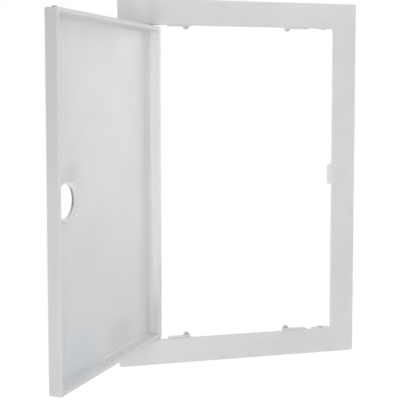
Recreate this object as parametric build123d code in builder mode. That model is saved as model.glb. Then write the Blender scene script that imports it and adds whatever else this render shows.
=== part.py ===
# Wall inspection hatch: a flat frame with a neck for the wall hole, and a tray-shaped door
# that turns on two moulded pins. The door is stored swung open.
# Origin: centre of the opening, in the wall plane (rear face of the flange).
# +X right, +Y into the wall, +Z up. Millimetres.
import os
from math import cos, radians, sin

from build123d import *

# Frame: flange
OPENING_W = 174.0          # clear opening
OPENING_H = 274.0
FLANGE_BORDER = 22.0       # width of the visible border
FLANGE_T = 2.5
FLANGE_CORNER_R = 2.0
FLANGE_EDGE_R = 1.0        # rounding of the outer front edge
OPENING_EDGE_R = 1.2       # rounding of the opening's front edge

# Frame: neck that goes into the wall hole
NECK_SET = 9.0             # from the opening's edge out to the neck's inner face
NECK_T = 2.0
NECK_DEPTH = 20.0
NECK_CORNER_R = 3.0
NECK_LEAD_IN = 0.6         # chamfer of the rear edge

# Door tray
DOOR_GAP = 1.5             # between the closed door and the opening, all round
RIM_DEPTH = 10.0
RIM_T = 3.2                # at the lip
RIM_ROOT_T = 5.2           # at the floor: the inner walls slope
FACE_T = 2.0
FLOOR_R = 2.4              # fillet where the rim meets the floor
DOOR_CORNER_R = 1.0
TRAY_CORNER_R = 3.0
DOOR_EDGE_R = 0.6          # edge of the show face
LIP_EDGE_R = 0.4           # edges of the rim's lip

# Finger hole and its collar, cut off at a slant
FINGER_R = 13.2
FINGER_FROM_EDGE = 21.0    # centre, from the door's free edge
COLLAR_T = 1.6
COLLAR_HIGH = 5.0          # above the tray floor, on the hinge side
COLLAR_LOW = 0.3           # on the free side

# Hinge
PIN_R = 2.0
PIN_INSET = 7.5            # from the opening's side edge to the pin axis
PIN_BEHIND = 3.5           # from the front face to the pin axis
PIN_CLEAR = 0.08           # radial, pin in socket
PIN_END_CLEAR = 0.4
PIN_TIP = 0.5
SOCKET_DEPTH = 3.0
SOCKET_WALL = 1.5
OPEN_ANGLE = 126.0         # how far the stored door stands open

# Snap domes near the door's free edge
DOME_R = 2.3
DOME_RISE = 1.4
DOME_ROUND = 1.3
DOME_BEHIND = 4.6          # from the front face to the dome's axis
DOME_CLEAR = 0.1           # radial, dome in socket

# Plates, ledges and stops behind the opening's edge
PLATE_T = 1.8
SOCKET_PLATE_L = 15.5
NIB_W = 5.0
NIB_T = 1.0
NIB_RISE = 0.8
NIB_ROUND = 0.7
LEDGE_L = 20.0
LEDGE_DEPTH = 6.5
LEDGE_PROUD = 0.5          # past the opening's edge
LEDGE_START = 44.5         # ledge's inner end, from the middle of the opening
STOP_W = 5.0
STOP_T = 2.2
STOP_REACH = 2.6           # past the opening's edge
STOP_CLEAR = 0.4           # behind the closed door's lip
ROOT = 0.5                 # how far ribs run into the wall that carries them

# Keeper on the latch side
KEEPER_L = 20.0
KEEPER_MID = 6.0           # height of its middle above the opening's centre
KEEPER_DEPTH = 9.5
KEEPER_SLOPE = 4.0         # fall of its slanted top end

# Worked out from the sizes above
EDGE_X = OPENING_W / 2
EDGE_Z = OPENING_H / 2
NECK_IN_X = EDGE_X + NECK_SET
NECK_IN_Z = EDGE_Z + NECK_SET
FRONT_Y = -FLANGE_T
PIN_X = EDGE_X - PIN_INSET
PIN_Y = FRONT_Y + PIN_BEHIND
DOME_Y = FRONT_Y + DOME_BEHIND
STOP_Y = FRONT_Y + RIM_DEPTH + STOP_CLEAR
DOOR_W = OPENING_W - 2 * DOOR_GAP
DOOR_H = OPENING_H - 2 * DOOR_GAP
PIN_FROM_DOOR_EDGE = PIN_INSET - DOOR_GAP
PIN_REACH = DOOR_GAP + SOCKET_DEPTH - PIN_END_CLEAR

# The open door's own directions: along the door, and from its show face to its lip
ALONG = Vector(cos(radians(OPEN_ANGLE)), -sin(radians(OPEN_ANGLE)), 0)
INWARD = Vector(sin(radians(OPEN_ANGLE)), cos(radians(OPEN_ANGLE)), 0)
HINGE = Vector(-PIN_X, PIN_Y, 0)
DOME_AXIS = HINGE + ALONG * (DOOR_W - 2 * PIN_FROM_DOOR_EDGE) + INWARD * (DOME_BEHIND - PIN_BEHIND)
FACE_MIDDLE = HINGE + ALONG * (DOOR_W / 2 - PIN_FROM_DOOR_EDGE) - INWARD * PIN_BEHIND
DOOR_FACE = Plane(origin=FACE_MIDDLE, x_dir=ALONG, z_dir=-INWARD)
DOOR_FLOOR = DOOR_FACE.offset(-FACE_T)
DOOR_LIP = DOOR_FACE.offset(-RIM_DEPTH)
FINGER_X = DOOR_W / 2 - FINGER_FROM_EDGE

WALL = Plane.XZ            # its normal points at the viewer
CORNERS = [(side, end) for side in (-1, 1) for end in (-1, 1)]
SOCKETS = {-1: (PIN_Y, PIN_R + PIN_CLEAR), 1: (DOME_Y, DOME_R + DOME_CLEAR)}


def rib(x0, x1, y0, y1, z0, z1):
    """Square plate between two corners, added to the open part."""
    with BuildSketch(Plane.XY.offset(min(z0, z1))) as footprint:
        with Locations(((x0 + x1) / 2, (y0 + y1) / 2)):
            Rectangle(abs(x1 - x0), abs(y1 - y0))
    extrude(footprint.sketch, amount=abs(z1 - z0))


def corner_socket(side, end):
    """Low plate with a boss for a pin or dome, and a nib behind it."""
    x = side * PIN_X
    y, hole_r = SOCKETS[side]
    boss_r = hole_r + SOCKET_WALL
    rib(side * EDGE_X, side * (EDGE_X - SOCKET_PLATE_L), 0, y + boss_r,
        end * EDGE_Z, end * (EDGE_Z + PLATE_T))
    with BuildSketch(Plane.XY.offset(end * EDGE_Z)) as boss:
        with BuildLine():
            Polyline((x + boss_r, y), (x + boss_r, 0), (x - boss_r, 0), (x - boss_r, y))
            ThreePointArc((x - boss_r, y), (x, y + boss_r), (x + boss_r, y))
        make_face()
    extrude(boss.sketch, amount=end * (SOCKET_DEPTH + SOCKET_WALL))
    with BuildSketch(WALL.offset(-y - boss_r)) as nib:
        with Locations((x, end * EDGE_Z)):
            RectangleRounded(NIB_W, 2 * NIB_RISE, NIB_ROUND)
    extrude(nib.sketch, amount=NIB_T)


def socket_hole(side, end):
    """Blind round hole that opens towards the door's edge."""
    y, hole_r = SOCKETS[side]
    with BuildSketch(Plane.XY.offset(end * EDGE_Z)) as hole:
        with Locations((side * PIN_X, y)):
            Circle(hole_r)
    extrude(hole.sketch, amount=end * SOCKET_DEPTH, mode=Mode.SUBTRACT)


def stop_ledge(side, end):
    """Ledge just past the opening's edge, with a round-ended stop behind the closed door."""
    inner = side * LEDGE_START
    outer = side * (LEDGE_START + LEDGE_L)
    stop_x = inner + side * STOP_W / 2
    ledge_z = end * (EDGE_Z + PLATE_T)
    neck_z = end * (NECK_IN_Z + ROOT)
    rib(inner, outer, 0, LEDGE_DEPTH, end * (EDGE_Z - LEDGE_PROUD), ledge_z)
    rib(outer - side * PLATE_T, outer, 0, LEDGE_DEPTH, ledge_z, neck_z)
    rib(stop_x - PLATE_T / 2, stop_x + PLATE_T / 2, 0, STOP_Y, ledge_z, neck_z)
    tip_z = EDGE_Z - STOP_REACH + STOP_W / 2
    with BuildSketch(WALL.offset(-STOP_Y)) as stop:
        with Locations((stop_x, end * tip_z)):
            Circle(STOP_W / 2)
        with Locations((stop_x, end * (tip_z + NECK_IN_Z + ROOT) / 2)):
            Rectangle(STOP_W, NECK_IN_Z + ROOT - tip_z)
    extrude(stop.sketch, amount=-STOP_T)


def keeper():
    """Tab flush with the latch side's edge, slanted at the top and ribbed to the neck."""
    low = KEEPER_MID - KEEPER_L / 2
    high = KEEPER_MID + KEEPER_L / 2
    with BuildSketch(Plane.YZ.offset(EDGE_X)) as tab:
        with BuildLine():
            Polyline((0, low), (KEEPER_DEPTH, low), (KEEPER_DEPTH, high - KEEPER_SLOPE),
                     (0, high), close=True)
        make_face()
    extrude(tab.sketch, amount=PLATE_T)
    for z in (low, high - KEEPER_SLOPE - PLATE_T):
        rib(EDGE_X + PLATE_T, NECK_IN_X + ROOT, 0, KEEPER_DEPTH, z, z + PLATE_T)


# Frame: one moulding
with BuildPart() as frame:
    with BuildSketch(WALL):
        RectangleRounded(OPENING_W + 2 * FLANGE_BORDER, OPENING_H + 2 * FLANGE_BORDER,
                         FLANGE_CORNER_R)
        Rectangle(OPENING_W, OPENING_H, mode=Mode.SUBTRACT)
    extrude(amount=FLANGE_T)
    front = frame.faces().sort_by(Axis.Y)[0]
    fillet(front.outer_wire().edges(), FLANGE_EDGE_R)
    front = frame.faces().sort_by(Axis.Y)[0]
    fillet(front.inner_wires()[0].edges(), OPENING_EDGE_R)

    with BuildSketch(WALL):
        RectangleRounded(2 * (NECK_IN_X + NECK_T), 2 * (NECK_IN_Z + NECK_T),
                         NECK_CORNER_R + NECK_T)
        RectangleRounded(2 * NECK_IN_X, 2 * NECK_IN_Z, NECK_CORNER_R, mode=Mode.SUBTRACT)
    extrude(amount=-NECK_DEPTH)
    rear = frame.faces().sort_by(Axis.Y)[-1]
    chamfer(rear.outer_wire().edges(), NECK_LEAD_IN)

    for side, end in CORNERS:
        corner_socket(side, end)
        stop_ledge(side, end)
    for side, end in CORNERS:
        socket_hole(side, end)
    keeper()
frame.part.label = "frame"

# Collar of the finger hole: a tube whose end slants down towards the free edge
with BuildPart() as collar:
    with BuildSketch(DOOR_FLOOR):
        with Locations((FINGER_X, 0)):
            Circle(FINGER_R + COLLAR_T)
    extrude(amount=-COLLAR_HIGH)
    reach = FINGER_R + COLLAR_T
    high_side = DOOR_FLOOR.from_local_coords((FINGER_X - reach, 0, -COLLAR_HIGH))
    low_side = DOOR_FLOOR.from_local_coords((FINGER_X + reach, 0, -COLLAR_LOW))
    slope = (low_side - high_side).normalized()
    split(bisect_by=Plane(origin=high_side, x_dir=slope, z_dir=slope.cross(Vector(0, 0, 1))),
          keep=Keep.TOP)

# Door: one moulding
with BuildPart() as door:
    with BuildSketch(DOOR_FACE):
        RectangleRounded(DOOR_W, DOOR_H, DOOR_CORNER_R)
    extrude(amount=-RIM_DEPTH)
    show = door.faces().sort_by(Axis(FACE_MIDDLE, INWARD))[0]
    fillet(show.outer_wire().edges(), DOOR_EDGE_R)
    for plane, wall_t in ((DOOR_LIP, RIM_T), (DOOR_FLOOR, RIM_ROOT_T)):
        with BuildSketch(plane):
            RectangleRounded(DOOR_W - 2 * wall_t, DOOR_H - 2 * wall_t, TRAY_CORNER_R)
    loft(ruled=True, mode=Mode.SUBTRACT)
    lip = door.faces().sort_by(Axis(FACE_MIDDLE, INWARD))[-1]
    fillet(lip.edges(), LIP_EDGE_R)
    floor = door.faces().filter_by(DOOR_FACE).sort_by(Axis(FACE_MIDDLE, INWARD))[1]
    fillet(floor.outer_wire().edges(), FLOOR_R)
    add(collar.part)
    with BuildSketch(DOOR_FACE):
        with Locations((FINGER_X, 0)):
            Circle(FINGER_R)
    extrude(amount=-FACE_T - COLLAR_HIGH, mode=Mode.SUBTRACT)
    for end in (-1, 1):
        with BuildSketch(Plane(origin=HINGE + Vector(0, 0, end * DOOR_H / 2))):
            Circle(PIN_R)
        extrude(amount=end * PIN_REACH)
        chamfer(door.edges().sort_by(Axis.Z, reverse=end > 0)[0], PIN_TIP)
    for end in (-1, 1):
        with BuildSketch(Plane(origin=DOME_AXIS + Vector(0, 0, end * DOOR_H / 2))):
            Circle(DOME_R)
        extrude(amount=end * DOME_RISE)
        dome_edges = door.edges(Select.LAST).filter_by(GeomType.CIRCLE)
        fillet(dome_edges.sort_by(Axis.Z, reverse=end > 0)[0], DOME_ROUND)
door.part.label = "door"

os.makedirs("parts", exist_ok=True)
for piece in (frame, door):
    export_step(piece.part, f"parts/{piece.part.label}.step")
    print(piece.part.label, piece.part.bounding_box())
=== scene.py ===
# White plastic inspection hatch, seen from the front left with its door swung open.
# Metres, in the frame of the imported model: +Y into the wall, +Z up.
from math import cos, radians, sin

import bpy
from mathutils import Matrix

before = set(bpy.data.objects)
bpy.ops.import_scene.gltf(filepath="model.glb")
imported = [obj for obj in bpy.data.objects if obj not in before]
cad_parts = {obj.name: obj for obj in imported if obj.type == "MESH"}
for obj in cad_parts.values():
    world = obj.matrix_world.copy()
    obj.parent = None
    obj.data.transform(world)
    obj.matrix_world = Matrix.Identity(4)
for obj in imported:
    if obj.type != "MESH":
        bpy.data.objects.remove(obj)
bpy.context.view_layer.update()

# Camera
LENS = 77.426
SENSOR = 36.0
SHIFT_Y = -0.1
CLIP_NEAR = 0.01
CLIP_FAR = 50.0
CAMERA_AT = (-0.22214, -0.73018, 0.07006)
CAMERA_TURN = (86.21, 0.011, -14.267)

# Moulded plastic
PLASTIC = (0.8, 0.8, 0.803)
PLASTIC_ROUGH = 0.36
ROUGH_CHANGE = 0.05
GLOW = 0.35                # share of light that spreads inside the plastic
GLOW_DEPTH = 0.003

# Patterns of its surface: scale and detail
MOTTLE = (14.0, 3.0)
CLOUDS = (45.0, 2.0)
GRAIN = (2600.0, 2.0)

# What the patterns do: shading at their low and high places, height of waves and grain
MOTTLE_SHADE = (0.975, 1.015)
CLOUD_SHADE = (0.992, 1.008)
WAVE_HEIGHT = 0.00012
GRAIN_HEIGHT = 0.000012

# Range in which most values of a pattern lie
PATTERN_LOW = 0.3
PATTERN_HIGH = 0.7

# The stored door's own directions, and where its hinge axis lies on it
OPEN_ANGLE = radians(126.0)
ALONG = (cos(OPEN_ANGLE), -sin(OPEN_ANGLE), 0.0)
INWARD = (sin(OPEN_ANGLE), cos(OPEN_ANGLE), 0.0)
HINGE = (-0.0795, 0.001, 0.0)
HINGE_FROM_EDGE = 0.006
HINGE_BEHIND = 0.0035

# Finger hole's axis, along from the hinge edge
HOLE_ALONG = 0.150

# Colours of the marks, painted light and shade among them
DUST = (0.16, 0.15, 0.14)
# dark grey: painted shade in the finger hole and on the dome; it also makes the stop nubs darker
DARK_GREY = (0.22, 0.22, 0.23)
SMEAR = (0.60, 0.60, 0.61)
# bluish and darker: a painted cool reflection with painted shade
COOL_REFLECTION = (0.66, 0.72, 0.77)
VIOLET = (0.74, 0.71, 0.81)
# painted shade and painted shadow
PAINTED_SHADE = (0.50, 0.50, 0.52)
# painted light on the hinge wall, the finger hole's collar and the snap sockets
PAINTED_LIGHT = (0.92, 0.92, 0.92)

# Marks, painted light and shade among them: centre, radii, share of the radius that is soft,
# colour, strength.
# Frame marks are placed in the model's frame.
FRAME_MARKS = {
    "dust_below_opening": ((0.0359, -0.0025, -0.1480), (0.0005, 0.002, 0.0005), 0.6, DUST, 0.75),
    # painted shadow of the open door on the flange by the upper hinge
    "shade_by_upper_hinge": ((-0.0785, -0.0025, 0.1450), (0.009, 0.006, 0.017), 0.9, PAINTED_SHADE, 0.24),
}

# The four stop nubs and the two snap sockets, and their marks without the centre: the nubs are made
# darker, the sockets get painted light
NUB_AT = (0.0470, 0.0090, 0.1358)
NUB_DARKENING = ((0.004, 0.004, 0.0034), 0.4, DARK_GREY, 0.12)
SOCKET_AT = (0.0795, 0.0021, 0.1385)
SOCKET_PAINTED_LIGHT = ((0.0045, 0.0045, 0.0060), 0.4, PAINTED_LIGHT, 0.90)

# Door marks are placed by the door: along from the hinge edge, depth from the show face, height
DOOR_MARKS = {
    "smear_by_hole": ((0.1385, 0.003, 0.021), (0.017, 0.003, 0.012), 0.9, SMEAR, 0.53),
    # painted bluish reflection and shade in the lower corner on the free edge's side
    "painted_reflection_lower_corner": ((0.1290, 0.003, -0.127), (0.043, 0.003, 0.048), 0.7, COOL_REFLECTION, 0.60),
    "violet_by_lower_hinge": ((0.0480, 0.003, -0.113), (0.024, 0.003, 0.022), 0.9, VIOLET, 0.40),
    # painted shade on the lower floor
    "shade_on_lower_floor": ((0.0690, 0.003, -0.117), (0.032, 0.003, 0.020), 0.9, PAINTED_SHADE, 0.20),
    # painted shade on the floor along the free wall
    "shade_by_free_wall": ((0.1560, 0.003, -0.102), (0.0090, 0.003, 0.038), 0.6, PAINTED_SHADE, 0.15),
    "violet_on_lower_rim": ((0.1200, 0.008, -0.1345), (0.062, 0.007, 0.0040), 0.7, VIOLET, 0.35),
    # painted shade along the lower crease
    "painted_shade_in_lower_crease": ((0.1280, 0.003, -0.1293), (0.050, 0.0025, 0.0020), 0.7, PAINTED_SHADE, 0.20),
    # painted shade on the lower hinge wall and on the floor beside it
    "shade_on_hinge_wall": ((0.0080, 0.006, -0.118), (0.013, 0.006, 0.034), 0.9, PAINTED_SHADE, 0.30),
    "shade_by_hinge_wall": ((0.0115, 0.0035, -0.115), (0.0080, 0.0035, 0.032), 0.8, PAINTED_SHADE, 0.28),
    "violet_on_upper_rim": ((0.0460, 0.006, 0.129), (0.016, 0.006, 0.007), 0.8, VIOLET, 0.42),
    # painted light on the hinge wall
    "painted_light_on_hinge_wall": ((0.0030, 0.006, 0.060), (0.0042, 0.0055, 0.190), 0.3, PAINTED_LIGHT, 0.80),
    # painted shade, darker towards the top of the free edge
    "shade_on_free_edge": ((0.1710, 0.005, 0.130), (0.003, 0.020, 0.080), 0.9, PAINTED_SHADE, 0.16),
    # painted shade on the upper dome
    "painted_shade_on_upper_dome": ((0.1650, 0.0046, 0.1370), (0.004, 0.004, 0.0018), 0.3, DARK_GREY, 0.45),
    "dust_on_floor": ((0.0538, 0.002, 0.1135), (0.0006, 0.002, 0.0005), 0.6, DUST, 0.60),
    "dust_on_free_edge": ((0.1710, 0.0082, 0.0878), (0.002, 0.0005, 0.0005), 0.6, DUST, 0.70),
}

# Hole marks are placed by the finger hole: distance from its axis, depth, along from the hinge edge
HOLE_MARKS = {
    # painted light on the finger hole's collar
    "painted_light_on_collar": ((0.0138, 0.0050, 0.150), (0.0022, 0.0032, 0.060), 0.3, PAINTED_LIGHT, 0.80),
    # painted shade in a crescent at the finger hole's inner edge
    "painted_shade_in_hole": ((0.0130, 0.0011, 0.1368), (0.0012, 0.0011, 0.0070), 0.8, DARK_GREY, 0.85),
}

# Light: the world's, which the background doesn't show, and broad lamps, each placed, sized
# and powered
WORLD_LIGHT = 0.42
BACKGROUND = 1.0
AIM = (-0.03, -0.03, 0.0)
LAMPS = {
    "right_high": ((0.55, -0.75, 0.65), 0.5, 1.6),
    "front_low": ((-0.3, -1.5, -0.55), 0.8, 5.8),
    "behind_right": ((1.0, 0.9, 0.1), 0.8, 3.7),
    "top_front": ((0.1, -0.9, 1.2), 0.8, 2.6),
    "left_low": ((-0.9, -0.8, -0.5), 0.5, 1.0),
    "behind_left": ((-0.9, 1.0, 0.3), 0.8, 6.8),
}

# Floor, well below the hatch, which is fixed at its own height in a wall
FLOOR_Z = -0.75
FLOOR_HALF = 6.0
FLOOR_COLOUR = (0.86, 0.86, 0.86)
FLOOR_ROUGH = 0.9
FLOOR_SHOWN = 0.6          # light of its own that it shows to the camera


def new_material(name):
    material = bpy.data.materials.new(name)
    material.use_nodes = True
    tree = material.node_tree
    return material, tree, tree.nodes["Principled BSDF"]


def noise(tree, coords, scale, detail):
    node = tree.nodes.new("ShaderNodeTexNoise")
    node.inputs["Scale"].default_value = scale
    node.inputs["Detail"].default_value = detail
    tree.links.new(coords, node.inputs["Vector"])
    return node.outputs["Fac"]


def ramp(tree, value, low, high, at_low, at_high):
    """Value mapped smoothly from one range to another, clamped."""
    node = tree.nodes.new("ShaderNodeMapRange")
    node.interpolation_type = "SMOOTHSTEP"
    node.inputs["From Min"].default_value = low
    node.inputs["From Max"].default_value = high
    node.inputs["To Min"].default_value = at_low
    node.inputs["To Max"].default_value = at_high
    tree.links.new(value, node.inputs["Value"])
    return node.outputs["Result"]


def spread(tree, pattern, at_low, at_high):
    """A pattern's own range mapped to another."""
    return ramp(tree, pattern, PATTERN_LOW, PATTERN_HIGH, at_low, at_high)


def math_node(tree, operation, a, b):
    node = tree.nodes.new("ShaderNodeMath")
    node.operation = operation
    for socket, value in zip(node.inputs, (a, b)):
        if isinstance(value, float):
            socket.default_value = value
        else:
            tree.links.new(value, socket)
    return node.outputs["Value"]


def vector_node(tree, operation, a, b=None):
    node = tree.nodes.new("ShaderNodeVectorMath")
    node.operation = operation
    tree.links.new(a, node.inputs[0])
    if b is not None:
        node.inputs[1].default_value = b
    return node.outputs["Value" if operation in ("DOT_PRODUCT", "LENGTH") else "Vector"]


def split(tree, vector):
    node = tree.nodes.new("ShaderNodeSeparateXYZ")
    tree.links.new(vector, node.inputs["Vector"])
    return [node.outputs[axis] for axis in "XYZ"]


def join(tree, *values):
    node = tree.nodes.new("ShaderNodeCombineXYZ")
    for axis, value in zip("XYZ", values):
        tree.links.new(value, node.inputs[axis])
    return node.outputs["Vector"]


def door_place(tree, coords):
    """Place on the door: along it, in from its show face, and up."""
    from_hinge = vector_node(tree, "SUBTRACT", coords, HINGE)
    along = vector_node(tree, "DOT_PRODUCT", from_hinge, ALONG)
    inward = vector_node(tree, "DOT_PRODUCT", from_hinge, INWARD)
    _, _, up = split(tree, from_hinge)
    return join(tree, math_node(tree, "ADD", along, HINGE_FROM_EDGE),
                math_node(tree, "ADD", inward, HINGE_BEHIND), up)


def hole_place(tree, place):
    """Place about the finger hole: distance from its axis, depth, and along the door."""
    from_axis = vector_node(tree, "SUBTRACT", place, (HOLE_ALONG, 0.0, 0.0))
    across = vector_node(tree, "MULTIPLY", from_axis, (1.0, 0.0, 1.0))
    along, depth, _ = split(tree, place)
    return join(tree, vector_node(tree, "LENGTH", across), depth, along)


def mark(tree, below, place, centre, radii, soft, colour, strength):
    """A soft-edged spot of another colour, laid over the colour below."""
    offset = vector_node(tree, "SUBTRACT", place, centre)
    far = vector_node(tree, "LENGTH", vector_node(tree, "DIVIDE", offset, radii))
    node = tree.nodes.new("ShaderNodeMix")
    node.data_type = "RGBA"
    tree.links.new(ramp(tree, far, 1.0 - soft, 1.0, strength, 0.0), node.inputs["Factor"])
    tree.links.new(below, node.inputs["A"])
    node.inputs["B"].default_value = (*colour, 1.0)
    return node.outputs["Result"]


def tint(tree, colour, factor):
    """A colour, darkened or lightened by a factor that varies over the surface."""
    node = tree.nodes.new("ShaderNodeMix")
    node.data_type = "RGBA"
    node.blend_type = "MULTIPLY"
    node.inputs["Factor"].default_value = 1.0
    node.inputs["A"].default_value = (*colour, 1.0)
    tree.links.new(factor, node.inputs["B"])
    return node.outputs["Result"]


def bump(tree, height, distance, below=None):
    node = tree.nodes.new("ShaderNodeBump")
    node.inputs["Strength"].default_value = 1.0
    node.inputs["Distance"].default_value = distance
    tree.links.new(height, node.inputs["Height"])
    if below is not None:
        tree.links.new(below, node.inputs["Normal"])
    return node.outputs["Normal"]


def moulded_plastic(name, add_marks):
    """Satin white plastic: slow waviness, fine grain, faint mottling and its marks, some of them
    painted light and shade.
    """
    material, tree, shader = new_material(name)
    coords = tree.nodes.new("ShaderNodeTexCoord").outputs["Object"]
    mottle = noise(tree, coords, *MOTTLE)
    clouds = noise(tree, coords, *CLOUDS)
    grain = noise(tree, coords, *GRAIN)
    shade = math_node(tree, "MULTIPLY", spread(tree, mottle, *MOTTLE_SHADE),
                      spread(tree, clouds, *CLOUD_SHADE))
    colour = add_marks(tree, tint(tree, PLASTIC, shade), coords)
    tree.links.new(colour, shader.inputs["Base Color"])
    shader.inputs["Subsurface Weight"].default_value = GLOW
    shader.inputs["Subsurface Radius"].default_value = (1.0, 1.0, 1.0)
    shader.inputs["Subsurface Scale"].default_value = GLOW_DEPTH
    rough = spread(tree, clouds, PLASTIC_ROUGH - ROUGH_CHANGE, PLASTIC_ROUGH + ROUGH_CHANGE)
    tree.links.new(rough, shader.inputs["Roughness"])
    wave = bump(tree, clouds, WAVE_HEIGHT)
    tree.links.new(bump(tree, grain, GRAIN_HEIGHT, wave), shader.inputs["Normal"])
    return material


def frame_marks(tree, colour, coords):
    for spot in FRAME_MARKS.values():
        colour = mark(tree, colour, coords, *spot)
    x, y, z = NUB_AT
    for side in (-1, 1):
        for end in (-1, 1):
            colour = mark(tree, colour, coords, (x * side, y, z * end), *NUB_DARKENING)
    x, y, z = SOCKET_AT
    for end in (-1, 1):
        colour = mark(tree, colour, coords, (x, y, z * end), *SOCKET_PAINTED_LIGHT)
    return colour


def door_marks(tree, colour, coords):
    on_door = door_place(tree, coords)
    about_hole = hole_place(tree, on_door)
    for spot in DOOR_MARKS.values():
        colour = mark(tree, colour, on_door, *spot)
    for spot in HOLE_MARKS.values():
        colour = mark(tree, colour, about_hole, *spot)
    return colour


def dress(node, material):
    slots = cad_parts[node].data.materials
    slots.clear()
    slots.append(material)


def make_camera():
    data = bpy.data.cameras.new("camera")
    data.sensor_width = SENSOR
    data.lens = LENS
    data.shift_y = SHIFT_Y
    data.clip_start = CLIP_NEAR
    data.clip_end = CLIP_FAR
    camera = bpy.data.objects.new("camera", data)
    camera.location = CAMERA_AT
    camera.rotation_euler = [radians(a) for a in CAMERA_TURN]
    bpy.context.collection.objects.link(camera)
    bpy.context.scene.camera = camera


def make_lamp(name, place, size, power):
    """A square lamp that faces the hatch."""
    data = bpy.data.lights.new(name, "AREA")
    data.shape = "SQUARE"
    data.size = size
    data.energy = power
    lamp = bpy.data.objects.new(name, data)
    lamp.location = place
    bpy.context.collection.objects.link(lamp)
    aim = bpy.data.objects.new(name + "_aim", None)
    aim.location = AIM
    bpy.context.collection.objects.link(aim)
    track = lamp.constraints.new("TRACK_TO")
    track.target = aim
    track.track_axis = "TRACK_NEGATIVE_Z"
    track.up_axis = "UP_Y"


def seen_ray(tree):
    """1 for rays that show the background: the camera's, glossy and transmitted ones."""
    path = tree.nodes.new("ShaderNodeLightPath")
    first = math_node(tree, "MAXIMUM", path.outputs["Is Camera Ray"], path.outputs["Is Glossy Ray"])
    return math_node(tree, "MAXIMUM", first, path.outputs["Is Transmission Ray"])


def make_world():
    """White where it is seen, and plain even light elsewhere."""
    world = bpy.data.worlds.new("studio")
    bpy.context.scene.world = world
    world.use_nodes = True
    tree = world.node_tree
    background = tree.nodes["Background"]
    background.inputs["Color"].default_value = (1.0, 1.0, 1.0, 1.0)
    tree.links.new(ramp(tree, seen_ray(tree), 0.0, 1.0, WORLD_LIGHT, BACKGROUND),
                   background.inputs["Strength"])


def make_floor():
    """Pale floor that shows white and keeps the hatch's soft shadow."""
    mesh = bpy.data.meshes.new("floor")
    h = FLOOR_HALF
    corners = [(-h, -h, FLOOR_Z), (h, -h, FLOOR_Z), (h, h, FLOOR_Z), (-h, h, FLOOR_Z)]
    mesh.from_pydata(corners, [], [(0, 1, 2, 3)])
    floor = bpy.data.objects.new("floor", mesh)
    bpy.context.collection.objects.link(floor)
    material, tree, shader = new_material("floor")
    shader.inputs["Base Color"].default_value = (*FLOOR_COLOUR, 1.0)
    shader.inputs["Roughness"].default_value = FLOOR_ROUGH
    shader.inputs["Emission Color"].default_value = (1.0, 1.0, 1.0, 1.0)
    tree.links.new(ramp(tree, seen_ray(tree), 0.0, 1.0, 0.0, FLOOR_SHOWN),
                   shader.inputs["Emission Strength"])
    mesh.materials.append(material)


dress("frame", moulded_plastic("frame_plastic", frame_marks))
dress("door", moulded_plastic("door_plastic", door_marks))
make_camera()
make_world()
for lamp_name, (place, size, power) in LAMPS.items():
    make_lamp(lamp_name, place, size, power)
make_floor()

view = bpy.context.scene.view_settings
view.view_transform = "Standard"
